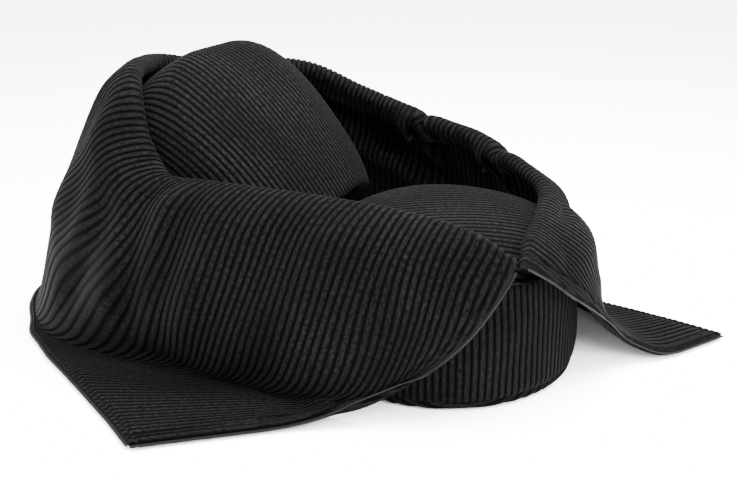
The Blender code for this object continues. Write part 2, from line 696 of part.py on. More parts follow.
def main():
    clear_scene()
    middle = np.array([*CENTRE, 0.0]) * (ACROSS, ACROSS, 1)
    seat = Pouf((SEAT_AT[0] * ACROSS, SEAT_AT[1] * ACROSS, 0.0005), SEAT_RADIUS, SEAT_RADIUS,
                SEAT_HEIGHT, 0.0, math.pi / 2)
    back = Pouf(np.array(BACK_AT) * (ACROSS, ACROSS, UP), BACK_HALF_WIDTH, BACK_HALF_LENGTH,
                BACK_THICKNESS, BACK_TURN, BACK_TILT, BACK_LOWER_SHARE)

    def no_bend(point, depth):
        return point

    def rest_on_seat(point, depth):
        """The back pouf gives way where it leans on the seat pouf and stands on the floor."""
        eased = seat.press_out(point, REST_ROOM + depth)
        eased[2] = max(eased[2], 0.0005 + depth)
        return eased

    add_pouf("seat_pouf", seat, no_bend)
    add_pouf("back_pouf", back, rest_on_seat)
    wrap = Wrap((seat, back))
    add_wrap(wrap)
    add_wrap_zip(wrap)
    hinge_flaps(wrap)
    add_pouf_zip("seat_pouf", seat, math.radians(20), math.radians(110), 0.05)
    add_pouf_zip("back_pouf", back, math.radians(60), math.radians(120), 0.05)
    for item in bpy.data.objects:
        item.location = np.array(item.location) + middle


main()
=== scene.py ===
import math

import bmesh
import bpy
import numpy as np
from mathutils import Matrix, Vector


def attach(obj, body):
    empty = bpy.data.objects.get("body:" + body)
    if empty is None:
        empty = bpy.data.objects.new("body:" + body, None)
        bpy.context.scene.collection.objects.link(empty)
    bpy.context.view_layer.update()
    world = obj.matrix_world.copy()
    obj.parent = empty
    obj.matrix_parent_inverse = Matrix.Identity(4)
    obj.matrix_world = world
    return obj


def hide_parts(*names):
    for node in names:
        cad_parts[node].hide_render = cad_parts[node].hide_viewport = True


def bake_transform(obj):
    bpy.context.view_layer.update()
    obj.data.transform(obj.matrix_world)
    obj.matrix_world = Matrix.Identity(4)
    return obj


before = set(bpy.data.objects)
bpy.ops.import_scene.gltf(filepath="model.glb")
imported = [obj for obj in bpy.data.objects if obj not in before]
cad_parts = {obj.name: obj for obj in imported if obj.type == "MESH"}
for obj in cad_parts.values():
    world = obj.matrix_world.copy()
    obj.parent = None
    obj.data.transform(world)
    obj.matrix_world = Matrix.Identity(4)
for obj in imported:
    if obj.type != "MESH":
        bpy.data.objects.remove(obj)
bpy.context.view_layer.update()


# ------------------------------------------------------------------ room
# A pale studio floor under plain soft light. The camera looks down on the left wing and the
# front corner, so that the seat shows between the two wings.
middle_x, middle_y = 0.0832, -0.1964
camera = bpy.data.objects.new("camera", bpy.data.cameras.new("camera"))
bpy.context.scene.collection.objects.link(camera)
camera.location = (-1.561 + middle_x, -1.561 + middle_y, 1.054)
look = Vector((middle_x, middle_y, 0.25)) - camera.location
camera.rotation_euler = look.to_track_quat("-Z", "Y").to_euler()
camera.data.lens = 53.0
camera.data.sensor_width = 36.0
camera.data.shift_x = -0.043
camera.data.shift_y = -0.0055
bpy.context.scene.camera = camera

floor_build = bmesh.new()
bmesh.ops.create_grid(floor_build, x_segments=1, y_segments=1, size=30.0)
floor_mesh = bpy.data.meshes.new("floor")
floor_build.to_mesh(floor_mesh)
floor_build.free()
floor = bpy.data.objects.new("floor", floor_mesh)
bpy.context.scene.collection.objects.link(floor)
floor_paint = bpy.data.materials.new("studio_floor")
floor_paint.use_nodes = True
floor_paint.node_tree.nodes["Principled BSDF"].inputs["Base Color"].default_value = (0.93, 0.93, 0.93, 1)
floor_paint.node_tree.nodes["Principled BSDF"].inputs["Roughness"].default_value = 0.75
floor_paint.node_tree.nodes["Principled BSDF"].inputs["Specular IOR Level"].default_value = 0.1
floor_mesh.materials.append(floor_paint)


def softbox(name, place, aim, size, power):
    """A large soft lamp aimed at a spot."""
    lamp = bpy.data.lights.new(name, "AREA")
    lamp.shape = "RECTANGLE"
    lamp.size, lamp.size_y = size
    lamp.energy = power
    item = bpy.data.objects.new(name, lamp)
    item.location = place
    item.rotation_euler = (Vector(aim) - Vector(place)).to_track_quat("-Z", "Y").to_euler()
    bpy.context.scene.collection.objects.link(item)


softbox("overhead", (0.0, -0.5, 3.0), (0.0, 0.0, 0.2), (2.4, 2.4), 1500)
softbox("left_side", (-2.9, 0.3, 1.9), (0.0, 0.0, 0.3), (1.4, 1.4), 60)
softbox("front", (-0.7, -2.9, 2.3), (0.1, 0.0, 0.2), (1.8, 1.4), 440)
studio = bpy.data.worlds.new("studio")
studio.use_nodes = True
studio.node_tree.nodes["Background"].inputs["Color"].default_value = (1, 1, 1, 1)
studio.node_tree.nodes["Background"].inputs["Strength"].default_value = 6.0
bpy.context.scene.world = studio


# ------------------------------------------------------------------ corduroy
# Black cotton corduroy with wide, round wales, used for the wrap inside and out and for both poufs.
# The wales are real ridges of the mesh; the material adds the cut pile and its streaks, painted shade in
# the grooves, a painted highlight on the ridge tops and a faint sheen.
WALE = 0.0150
CORD_DEPTH = 0.0036
STEPS_PER_WALE = 8


def wale_height(phase):
    """Height of the cloth above its grooves, for a place counted in wales."""
    side = 2 * (phase - np.floor(phase)) - 1
    return CORD_DEPTH * np.clip(1 - side ** 2, 0, 1) ** 0.42


def lattice(name, spots, uv, material, merge=0.00002):
    """Cloth as a grid moved to the given spots [column, row], with coincident corners merged."""
    columns, rows = spots.shape[:2]
    build = bmesh.new()
    bmesh.ops.create_grid(build, x_segments=columns - 1, y_segments=rows - 1, size=1.0)
    mesh = bpy.data.meshes.new(name)
    build.to_mesh(mesh)
    build.free()
    by_row = np.ascontiguousarray(np.swapaxes(spots, 0, 1)).reshape(-1, 3)
    mesh.vertices.foreach_set("co", by_row.astype(np.float32).ravel())
    corner = np.empty(len(mesh.loops), np.int32)
    mesh.loops.foreach_get("vertex_index", corner)
    flat = np.ascontiguousarray(np.swapaxes(uv, 0, 1)).reshape(-1, 2)
    layer = mesh.uv_layers.new(name="cloth")
    layer.data.foreach_set("uv", flat[corner].astype(np.float32).ravel())
    build = bmesh.new()
    build.from_mesh(mesh)
    bmesh.ops.remove_doubles(build, verts=build.verts, dist=merge)
    bmesh.ops.dissolve_degenerate(build, edges=build.edges, dist=0.000005)
    bmesh.ops.recalc_face_normals(build, faces=build.faces)
    build.to_mesh(mesh)
    build.free()
    mesh.shade_smooth()
    mesh.materials.append(material)
    piece = bpy.data.objects.new(name, mesh)
    bpy.context.scene.collection.objects.link(piece)
    return piece


def nap_and_painted_shade_group():
    """Cut pile: short streaks along the wales, clumps of fibre and uneven dye, over painted shade in the
    grooves and a painted highlight on the ridge tops.
    """
    group = bpy.data.node_groups.new("cord_nap_and_painted_shade", "ShaderNodeTree")
    face = group.interface
    face.new_socket("Dark", in_out="INPUT", socket_type="NodeSocketColor")
    face.new_socket("Light", in_out="INPUT", socket_type="NodeSocketColor")
    face.new_socket("Color", in_out="OUTPUT", socket_type="NodeSocketColor")
    face.new_socket("Height", in_out="OUTPUT", socket_type="NodeSocketFloat")
    nodes, links = group.nodes, group.links
    start = nodes.new("NodeGroupInput")
    end = nodes.new("NodeGroupOutput")
    place = nodes.new("ShaderNodeUVMap")
    place.uv_map = "cloth"
    streak_map = nodes.new("ShaderNodeMapping")
    streak_map.inputs["Scale"].default_value = (1400, 240, 1)
    links.new(place.outputs["UV"], streak_map.inputs["Vector"])
    streak = nodes.new("ShaderNodeTexNoise")
    streak.inputs["Scale"].default_value = 1.0
    streak.inputs["Detail"].default_value = 3.0
    links.new(streak_map.outputs["Vector"], streak.inputs["Vector"])
    clump_map = nodes.new("ShaderNodeMapping")
    clump_map.inputs["Scale"].default_value = (260, 110, 1)
    links.new(place.outputs["UV"], clump_map.inputs["Vector"])
    clump = nodes.new("ShaderNodeTexNoise")
    clump.inputs["Scale"].default_value = 1.0
    clump.inputs["Detail"].default_value = 2.0
    links.new(clump_map.outputs["Vector"], clump.inputs["Vector"])
    patch_map = nodes.new("ShaderNodeMapping")
    patch_map.inputs["Scale"].default_value = (7, 5, 1)
    links.new(place.outputs["UV"], patch_map.inputs["Vector"])
    patch = nodes.new("ShaderNodeTexNoise")
    patch.inputs["Scale"].default_value = 1.0
    links.new(patch_map.outputs["Vector"], patch.inputs["Vector"])
    both = nodes.new("ShaderNodeMath")
    both.operation = "ADD"
    links.new(streak.outputs["Fac"], both.inputs[0])
    links.new(clump.outputs["Fac"], both.inputs[1])
    share = nodes.new("ShaderNodeMapRange")
    share.inputs["From Min"].default_value = 0.80
    share.inputs["From Max"].default_value = 1.22
    links.new(both.outputs[0], share.inputs["Value"])
    # Place across each wale, from groove to ridge top: the grooves get painted shade and the ridge tops a
    # painted highlight, ragged where the clumps fall.
    wale = nodes.new("ShaderNodeSeparateXYZ")
    links.new(place.outputs["UV"], wale.inputs["Vector"])
    count = nodes.new("ShaderNodeMath")
    count.operation = "DIVIDE"
    count.inputs[1].default_value = WALE
    links.new(wale.outputs["X"], count.inputs[0])
    part = nodes.new("ShaderNodeMath")
    part.operation = "PINGPONG"
    part.inputs[1].default_value = 0.5
    links.new(count.outputs[0], part.inputs[0])
    ragged = nodes.new("ShaderNodeMath")
    ragged.operation = "MULTIPLY_ADD"
    ragged.inputs[1].default_value = 0.16
    links.new(clump.outputs["Fac"], ragged.inputs[0])
    links.new(part.outputs[0], ragged.inputs[2])
    painted_ridge_mask = nodes.new("ShaderNodeMapRange")
    painted_ridge_mask.interpolation_type = "SMOOTHSTEP"
    painted_ridge_mask.inputs["From Min"].default_value = 0.20
    painted_ridge_mask.inputs["From Max"].default_value = 0.44
    links.new(ragged.outputs[0], painted_ridge_mask.inputs["Value"])
    lit = nodes.new("ShaderNodeMath")
    lit.operation = "MULTIPLY"
    links.new(share.outputs["Result"], lit.inputs[0])
    links.new(painted_ridge_mask.outputs["Result"], lit.inputs[1])
    # Mixes from the painted groove shade to the painted ridge highlight.
    tone = nodes.new("ShaderNodeMix")
    tone.data_type = "RGBA"
    links.new(lit.outputs[0], tone.inputs["Factor"])
    links.new(start.outputs["Dark"], tone.inputs["A"])
    links.new(start.outputs["Light"], tone.inputs["B"])
    fade = nodes.new("ShaderNodeMapRange")
    fade.inputs["From Min"].default_value = 0.3
    fade.inputs["From Max"].default_value = 0.7
    fade.inputs["To Min"].default_value = 0.62
    fade.inputs["To Max"].default_value = 1.30
    links.new(patch.outputs["Fac"], fade.inputs["Value"])
    dye = nodes.new("ShaderNodeVectorMath")
    dye.operation = "SCALE"
    links.new(tone.outputs["Result"], dye.inputs[0])
    links.new(fade.outputs["Result"], dye.inputs["Scale"])
    links.new(dye.outputs["Vector"], end.inputs["Color"])
    links.new(both.outputs[0], end.inputs["Height"])
    return group


cord_nap_and_painted_shade = nap_and_painted_shade_group()


def cord_material(name, hollow_shade, ridge_highlight):
    paint = bpy.data.materials.new(name)
    paint.use_nodes = True
    nodes, links = paint.node_tree.nodes, paint.node_tree.links
    shader = nodes["Principled BSDF"]
    shader.inputs["Roughness"].default_value = 0.82
    shader.inputs["Specular IOR Level"].default_value = 0.012
    shader.inputs["Sheen Weight"].default_value = 0.004
    shader.inputs["Sheen Roughness"].default_value = 0.45
    shader.inputs["Sheen Tint"].default_value = (0.80, 0.82, 0.88, 1)
    nap_and_shade = nodes.new("ShaderNodeGroup")
    nap_and_shade.node_tree = cord_nap_and_painted_shade
    nap_and_shade.inputs["Dark"].default_value = (*hollow_shade, 1)
    nap_and_shade.inputs["Light"].default_value = (*ridge_highlight, 1)
    links.new(nap_and_shade.outputs["Color"], shader.inputs["Base Color"])
    bump = nodes.new("ShaderNodeBump")
    bump.inputs["Strength"].default_value = 0.6
    bump.inputs["Distance"].default_value = 0.0011
    links.new(nap_and_shade.outputs["Height"], bump.inputs["Height"])
    links.new(bump.outputs["Normal"], shader.inputs["Normal"])
    return paint


# Near-black painted shade for the grooves and a brighter painted highlight for the ridge tops.
black_cord = cord_material("black_corduroy", (0.00002, 0.00002, 0.00003), (0.0028, 0.0028, 0.0030))


# ------------------------------------------------------------------ poufs
# Two bead-filled poufs: a squat round one to sit on and an oval one that leans back behind it.
# Each cover is a base disc, a side band with upright wales and a crowned top with straight wales,
# sewn together with plain seams that pull in a little.
CROWN_FROM = 0.745        # share of the height where the crown begins
CROWN_REACH = 0.957       # share of the radius there
CROWN_POWER = 2.6
CROWN_SOFTNESS = 0.6
BASE_SEAM = 0.055         # share of the height where base and band are sewn together
TOP_SEAM = {"seat": CROWN_FROM, "back": 0.40}
SEAM_REACH = 0.006        # the stitches draw the cloth in within this way of a seam
SEAM_DEPTH = 0.0040
SLACK_DEPTH = 0.0035
PANEL = 0.0115            # from the ideal outline in to the back of a panel
REST_ROOM = 0.004         # between the back pouf and the seat pouf
FLOOR_ROOM = 0.0006


class Pouf:
    """A crowned round or oval body with its base at `at` and its axis along `up`."""

    def __init__(self, at, half_width, half_length, height, turn, tilt, lower_share=1.0, slump=0.0):
        self.at = np.array(at)
        self.lower_share = lower_share
        self.slump = slump
        self.half = np.array([half_width, half_length])
        self.height = height
        self.up = np.array([math.sin(turn) * math.cos(tilt), -math.cos(turn) * math.cos(tilt),
                            math.sin(tilt)])
        self.side = np.array([math.cos(turn), math.sin(turn), 0.0])
        self.along = np.cross(self.up, self.side)

    def place(self, x, y, z):
        """World spots of places along the body's own axes; a slump fills its shoulders out."""
        x, y = x * np.ones_like(y), y * np.ones_like(x)
        reach = np.hypot(x / self.half[0], y / self.half[1]) + 1e-9
        corner = np.abs(x / self.half[0] * y / self.half[1]) / reach ** 2
        rise = np.clip(y / self.half[1], 0, 1)
        fuller = np.where(y > 0, 1 + self.slump * (2.4 * corner ** 2 - 0.45 * rise ** 2), 1)
        x, y = x * np.maximum(fuller, 1), y * fuller
        y = np.where(y < 0, y * self.lower_share, y)
        return self.at + x[..., None] * self.side + y[..., None] * self.along + z[..., None] * self.up

    def local(self, spots):
        """Places along the body's own axes of world spots; a slump isn't undone."""
        off = spots - self.at
        y = off @ self.along
        return off @ self.side, np.where(y < 0, y / self.lower_share, y), off @ self.up

    def band_share(self, height):
        """Share of the full radius at a share of the height."""
        curve = 1 - 0.498 * np.abs(height - 0.36) ** 2.6 - 0.040 * np.exp(-height / 0.018)
        crown = np.clip((height - CROWN_FROM) / (1 - CROWN_FROM), 0, 1) ** (1 / CROWN_SOFTNESS)
        return np.where(height > CROWN_FROM, CROWN_REACH * (1 - crown) ** (1 / CROWN_POWER), curve)

    def push_out(self, spots, room):
        """Moves spots beside or behind the body out, where they would be nearer than this room."""
        x, y, z = self.local(spots)
        reach = np.hypot(x / self.half[0], y / self.half[1])
        radius = np.hypot(x, y) / np.maximum(reach, 1e-6)
        share = self.band_share(np.clip(z / self.height, 0, 1))
        short = share * radius + room - reach * radius
        beside = (z > -room) & (z < self.height + room) & (short > 0)
        behind = beside & (z + room < short) & (self.up[1] < -0.1)
        away = (x[..., None] * self.side + y[..., None] * self.along) / np.hypot(x, y)[..., None]
        moved = np.where(beside[..., None], spots + away * short[..., None], spots)
        return np.where(behind[..., None], spots - self.up * (z + room)[..., None], moved)

    def press_out(self, spots, room):
        """Moves spots inside the body straight away from its middle, to this room off it."""
        x, y, z = self.local(spots)
        half = self.height / 2
        away = np.stack([x, y, z - half], axis=-1)
        size = np.array([self.half[0] + room, self.half[1] + room, half + room])
        reach = np.hypot(away[..., 0] / size[0], away[..., 1] / size[1]) ** 4
        reach = (reach + np.abs(away[..., 2] / size[2]) ** 4) ** 0.25
        moved = away / np.maximum(reach, 1e-6)[..., None]
        moved = (self.at + self.side * moved[..., :1] + self.along * moved[..., 1:2]
                 + self.up * (moved[..., 2:] + half))
        return np.where((reach < 1)[..., None], moved, spots)


seat = Pouf((0.1132, -0.3044, 0.0005), 0.285, 0.285, 0.348, 0.0, math.pi / 2)
back = Pouf((-0.1038, 0.2006, 0.237), 0.235, 0.345, 0.340, math.radians(12), math.radians(40), 0.80,
            slump=0.17)


def seat_bend(spots, depth):
    """The seat pouf stands on the floor."""
    spots[..., 2] = np.maximum(spots[..., 2], FLOOR_ROOM + depth)
    return spots


def back_bend(spots, depth):
    """The back pouf gives way where it leans on the seat pouf and stands on the floor."""
    eased = seat.press_out(spots, REST_ROOM + depth)
    eased[..., 2] = np.maximum(eased[..., 2], FLOOR_ROOM + depth)
    return eased


def slack(x, y, seed):
    """Shallow uneven dents of loose beads under cloth, from -1 to 1."""
    return (np.sin(9.1 * x + 4.3 * y + seed) + np.sin(-5.7 * x + 11.3 * y + 2.1 * seed)
            + 0.6 * np.sin(17.0 * x - 9.0 * y + 3.7 * seed)) / 2.6


def seam_pull(gap):
    """How far the stitches draw the cloth in, from 1 at the seam to 0 away from it."""
    return np.exp(-(np.maximum(gap, 0) / SEAM_REACH) ** 1.4)


def pouf_outline(pouf, top, seam):
    """Half outline of a top or base from the axis to its seam: radius, height and way walked."""
    if top:
        shoulder = np.linspace(CROWN_FROM - 0.001, seam, 80)
        inner = np.linspace(0, CROWN_REACH - 0.0005, 160)
        crown = np.clip(1 - (inner / CROWN_REACH) ** CROWN_POWER, 0, 1) ** CROWN_SOFTNESS
        share = np.concatenate([inner, pouf.band_share(shoulder)])
        height = np.concatenate([CROWN_FROM + (1 - CROWN_FROM) * crown, shoulder])
    else:
        edge = np.linspace(0.014, seam, 40)
        inner = np.linspace(0, 0.93, 120)
        flat = 0.012 * np.clip((inner - 0.80) / 0.13, 0, 1) ** 2
        share = np.concatenate([inner, pouf.band_share(edge)])
        height = np.concatenate([flat, edge])
    radius, rise = share * pouf.half.mean(), height * pouf.height
    walked = np.concatenate([[0], np.cumsum(np.hypot(np.diff(radius), np.diff(rise)))])
    return radius, rise, walked


def pouf_disc(name, pouf, bend, wale_turn, top, seam, seed):
    """Crowned top or flat base as a closed shell, its wales straight across the cloth."""
    radius, rise, walked = pouf_outline(pouf, top, seam)
    reach = walked[-1]
    wales = int(round(2 * reach / WALE))
    phase = np.linspace(0, wales, wales * STEPS_PER_WALE + 1)
    across = (2 * phase / wales - 1)[:, None] * 0.9999
    outer = np.sin(np.linspace(-math.pi / 2, math.pi / 2, 71))
    inner = outer[::-5]
    walk = np.concatenate([outer, inner])[None, :]
    shell = np.concatenate([np.zeros(len(outer)), np.ones(len(inner))])[None, :]
    chord = np.sqrt(1 - across ** 2)
    cos, sin = math.cos(wale_turn), math.sin(wale_turn)
    x = across * -sin + walk * chord * cos
    y = across * cos + walk * chord * sin
    share = np.hypot(x, y)
    way = share * reach
    near_r, near_z = np.interp(way, walked, radius), np.interp(way, walked, rise)
    run_r, run_z = np.gradient(radius, walked), np.gradient(rise, walked)
    normal_r, normal_z = -np.interp(way, walked, run_z), np.interp(way, walked, run_r)
    if not top:
        normal_r, normal_z = -normal_r, -normal_z
    size = np.hypot(normal_r, normal_z)
    normal_r, normal_z = normal_r / size, normal_z / size
    pull = seam_pull((1 - share) * reach)
    height = wale_height(phase)[:, None] * (1 - 0.5 * pull)
    loose = SLACK_DEPTH * (1 + slack(x * reach, y * reach, seed)) * np.clip((1 - share) / 0.2, 0, 1)
    dent = CORD_DEPTH - height + SEAM_DEPTH * pull + (loose if top else 0)
    dent = np.where(shell > 0, PANEL, dent)
    near_r = np.maximum(near_r - normal_r * dent, 0)
    near_z = near_z - normal_z * dent
    scale = near_r / np.maximum(share, 1e-9) / pouf.half.mean()
    spots = pouf.place(x * scale * pouf.half[0], y * scale * pouf.half[1], near_z)
    spots = bend(spots, dent)
    uv = np.stack([phase[:, None] * WALE * np.ones_like(walk), walk * chord * reach], axis=-1)
    return lattice(name, spots, uv, black_cord)


def pouf_band(name, pouf, bend, seam, seed):
    """Side band as a closed ring with upright wales."""
    half = pouf.half
    turn = np.linspace(0, math.tau, 2000)
    step = np.hypot(np.diff(half[0] * np.cos(turn)), np.diff(half[1] * np.sin(turn)))
    walked = np.concatenate([[0], np.cumsum(step)])
    wales = int(round(walked[-1] / WALE))
    phase = np.linspace(0, wales, wales * STEPS_PER_WALE + 1)
    angle = np.interp(phase / wales * walked[-1], walked, turn)[:, None]
    near = np.array([0, 0.004, 0.011, 0.022])
    outer = np.concatenate([BASE_SEAM + near, np.linspace(BASE_SEAM + 0.04, seam - 0.04, 20),
                            seam - near[::-1]])
    inner = np.linspace(seam - 0.01, BASE_SEAM + 0.01, 6)
    height = np.concatenate([outer, inner, outer[:1]])[None, :]
    inside = np.concatenate([np.zeros(len(outer)), np.ones(len(inner)), [0]])[None, :]
    gap = np.minimum(height - BASE_SEAM, seam - height) * pouf.height
    pull = seam_pull(gap)
    rise = wale_height(phase)[:, None] * (1 - 0.5 * pull)
    loose = SLACK_DEPTH * (1 + slack(np.cos(angle) * 0.6, np.sin(angle) * 0.6 + height, seed))
    dent = CORD_DEPTH - rise + SEAM_DEPTH * pull + loose * np.clip(gap / 0.04, 0, 1)
    dent = np.where(inside > 0, PANEL, dent)
    share = pouf.band_share(height) - dent / half.mean()
    z = pouf.height * height * np.ones_like(angle)
    spots = bend(pouf.place(share * half[0] * np.cos(angle), share * half[1] * np.sin(angle), z), dent)
    spots[-1] = spots[0]
    uv = np.stack([phase[:, None] * WALE * np.ones_like(z), z], axis=-1)
    return lattice(name, spots, uv, black_cord)


for label, pouf, bend, turn in (("seat", seat, seat_bend, math.radians(-40)),
                                ("back", back, back_bend, math.radians(-79))):
    seam = TOP_SEAM[label]
    made = ((pouf_disc(f"{label}_top", pouf, bend, turn, True, seam, 1.3), "top_panel"),
            (pouf_band(f"{label}_band", pouf, bend, seam, 2.2), "side_band"),
            (pouf_disc(f"{label}_base", pouf, bend, turn, False, BASE_SEAM, 0.4), "base_panel"))
    for piece, node in made:
        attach(piece, "wrap_and_poufs")
        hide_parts(f"{label}_pouf_{node}")


# ------------------------------------------------------------------ filling
# Inside each cover a plain woven bag holds loose polystyrene beads. They follow the dented cover
# a little way inside it, and nothing of them shows while the zips are closed.
BAG_DEPTH = 0.018         # the bag and the beads are drawn in this far, clear of the dented cover
BEAD_DEPTH = 0.021


def filling_material(name, pale, hollow_shade, scale, depth):
    paint = bpy.data.materials.new(name)
    paint.use_nodes = True
    nodes, links = paint.node_tree.nodes, paint.node_tree.links
    shader = nodes["Principled BSDF"]
    shader.inputs["Roughness"].default_value = 0.7
    place = nodes.new("ShaderNodeTexCoord")
    cell = nodes.new("ShaderNodeTexVoronoi")
    cell.inputs["Scale"].default_value = scale
    links.new(place.outputs["Object"], cell.inputs["Vector"])
    # Pale in the middle of each cell and darker towards its edge: painted shade in the hollows between the
    # raised cells, which are beads in the filling and bumps of the weave in the bag.
    tone = nodes.new("ShaderNodeMix")
    tone.data_type = "RGBA"
    tone.inputs["A"].default_value = (*pale, 1)
    tone.inputs["B"].default_value = (*hollow_shade, 1)
    links.new(cell.outputs["Distance"], tone.inputs["Factor"])
    links.new(tone.outputs["Result"], shader.inputs["Base Color"])
    bump = nodes.new("ShaderNodeBump")
    bump.invert = True
    bump.inputs["Distance"].default_value = depth
    links.new(cell.outputs["Distance"], bump.inputs["Height"])
    links.new(bump.outputs["Normal"], shader.inputs["Normal"])
    return paint


bag_cloth = filling_material("bag_cloth", (0.70, 0.69, 0.66), (0.52, 0.51, 0.48), 900, 0.0003)
bead_foam = filling_material("bead_foam", (0.86, 0.86, 0.84), (0.60, 0.60, 0.58), 260, 0.0015)


def shrunk_copy(node, name, pouf, depth, material):
    """A copy of a CAD solid with its skin drawn in towards the middle and slumped with its cover."""
    build = bmesh.new()
    build.from_mesh(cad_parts[node].data)
    bmesh.ops.remove_doubles(build, verts=build.verts, dist=0.00002)
    middle = sum((v.co for v in build.verts), Vector()) / len(build.verts)
    for v in build.verts:
        v.co -= (v.co - middle).normalized() * depth
    spots = pouf.place(*pouf.local(np.array([v.co for v in build.verts])))
    for v, spot in zip(build.verts, spots):
        v.co = spot
    mesh = bpy.data.meshes.new(name)
    build.to_mesh(mesh)
    build.free()
    mesh.shade_smooth()
    mesh.materials.append(material)
    piece = bpy.data.objects.new(name, mesh)
    bpy.context.scene.collection.objects.link(piece)
    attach(piece, "wrap_and_poufs")
    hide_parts(node)
    return piece


for label, pouf in (("seat", seat), ("back", back)):
    for node, kind, depth, material in (("inner_bag", "inner_bag", BAG_DEPTH, bag_cloth),
                                        ("bead_filling", "beads", BEAD_DEPTH, bead_foam)):
        piece = shrunk_copy(f"{label}_pouf_{node}", f"{label}_{kind}", pouf, depth, material)


# ------------------------------------------------------------------ wrap
# One long padded sheet of the same corduroy, folded over at the rim, so the wales run down inside,
# over the rim, down the outside and out over the floor. Its front edges meet at the front corner,
# and its lower corners spread out as flaps. Each rib of this net has its rim, shoulder, middle,
# foot, flap fold and bottom edge, in metres.
RIBS = (
    ((-.110, -.410, .327), (-.130, -.412, .292), (-.185, -.370, .172), (-.262, -.275, .074),
     (-.420, -.140, 0), (-.683, .019, 0)),
    ((-.165, -.335, .367), (-.205, -.345, .357), (-.262, -.310, .192), (-.300, -.195, .018),
     (-.4417, -.050, 0), (-.660, .125, 0)),
    ((-.215, -.235, .387), (-.265, -.245, .382), (-.335, -.185, .197), (-.343, -.075, .004),
     (-.4706, .070, 0), (-.640, .240, 0)),
    ((-.270, -.115, .397), (-.325, -.115, .394), (-.395, -.055, .202), (-.394, .060, 0),
     (-.4995, .190, 0), (-.620, .360, 0)),
    ((-.335, .020, .402), (-.390, .030, .400), (-.450, .085, .207), (-.441, .185, 0),
     (-.5284, .310, 0), (-.605, .460, 0)),
    ((-.385, .140, .402), (-.440, .165, .400), (-.497, .220, .212), (-.488, .310, 0),
     (-.5549, .420, 0), (-.5850, .545, 0)),
    ((-.410, .250, .404), (-.470, .290, .406), (-.530, .330, .222), (-.540, .450, .018),
     (-.560, .530, .001), (-.570, .605, 0)),
    ((-.415, .330, .472), (-.475, .380, .470), (-.540, .450, .242), (-.541, .568, .040),
     (-.539, .622, .005), (-.535, .670, 0)),
    ((-.385, .400, .562), (-.420, .435, .564), (-.508, .555, .282), (-.499, .672, .055),
     (-.494, .718, .007), (-.490, .760, 0)),
    ((-.315, .490, .585), (-.335, .515, .588), (-.435, .650, .288), (-.426, .758, .050),
     (-.422, .800, .007), (-.420, .840, 0)),
    ((-.200, .560, .565), (-.205, .590, .565), (-.280, .710, .282), (-.300, .785, .026),
     (-.300, .832, .003), (-.300, .900, 0)),
    ((-.040, .560, .540), (-.040, .595, .540), (-.070, .710, .275), (-.080, .765, 0),
     (-.080, .822, 0), (-.080, .900, 0)),
    ((.120, .460, .527), (.140, .490, .527), (.190, .600, .262), (.210, .660, 0),
     (.200, .740, 0), (.180, .900, 0)),
    ((.225, .365, .464), (.255, .385, .462), (.330, .450, .232), (.350, .490, 0),
     (.375, .540, 0), (.400, .640, 0)),
    ((.262, .250, .430), (.300, .260, .428), (.390, .300, .212), (.410, .330, 0),
     (.440, .350, 0), (.490, .410, 0)),
    ((.300, .165, .403), (.345, .165, .400), (.410, .185, .202), (.430, .200, 0),
     (.460, .210, 0), (.515, .240, 0)),
    ((.330, .065, .378), (.370, .055, .372), (.425, .060, .182), (.445, .070, 0),
     (.470, .070, 0), (.515, .080, 0)),
    ((.306, -.060, .352), (.340, -.080, .342), (.400, -.080, .162), (.425, -.070, 0),
     (.450, -.075, 0), (.490, -.080, 0)),
    ((.250, -.187, .334), (.283, -.210, .322), (.352, -.208, .152), (.388, -.186, 0),
     (.4500, -.2220, 0), (.4650, -.1900, 0)),
    ((.124, -.283, .324), (.160, -.325, .312), (.290, -.320, .142), (.358, -.274, .010),
     (.4249, -.275, 0), (.485, -.305, 0)),
    ((.002, -.352, .322), (.030, -.390, .307), (.175, -.385, .167), (.310, -.350, .022),
     (.3830, -.363, 0), (.500, -.400, 0)),
    ((-.095, -.412, .322), (-.050, -.425, .297), (.085, -.415, .192), (.245, -.420, .050),
     (.3300, -.475, 0), (.512, -.507, 0)),
)
LEFT_FOLD, RIGHT_FOLD = 5, 18       # ribs where the corner flaps begin and end at the bottom edge
HALF_SHEET = 0.0089       # half of cover, wadding and lining together
LYING = HALF_SHEET + 0.0008
ROUNDING = (0.045, 0.10, 0.050)     # at the shoulder, the middle of the wall and the foot
ROWS = 62
POUF_ROOM = 0.0185        # the lining hangs this far off the poufs before it is draped
DRAPED_ROOM = 0.022       # and this far after
RIM_SAG = 0.010
HEM = 0.0275              # width of the hem, which has two ridges of its own
HEM_RIDGE = 0.0135
SIDE_STITCH = 0.0270      # from the front edges to their row of stitches
EDGE_STITCH = 0.0150      # from the bottom edge to its row
STITCH_DEPTH = 0.0030
RIM_FULLNESS = 0.009
net = np.array(RIBS, float) + (middle_x, middle_y, LYING)
last_rib = len(RIBS) - 1


def between(line, s):
    """A smooth curve through the net's points, at places s counted in ribs."""
    i = np.clip(s.astype(int), 0, last_rib - 1)
    t = (s - i)[:, None]
    a, b = line[i], line[i + 1]
    before, after = line[np.maximum(i - 1, 0)], line[np.minimum(i + 2, last_rib)]
    start = (b - before) / np.where(i == 0, 1, 2)[:, None]
    end = (after - a) / np.where(i == last_rib - 1, 1, 2)[:, None]
    return ((2 * t ** 3 - 3 * t ** 2 + 1) * a + (t ** 3 - 2 * t ** 2 + t) * start
            + (3 * t ** 2 - 2 * t ** 3) * b + (t ** 3 - t ** 2) * end)


def straight(line, s):
    """Straight runs through the net's points."""
    i = np.clip(s.astype(int), 0, last_rib - 1)
    return line[i] + (line[i + 1] - line[i]) * (s - i)[:, None]


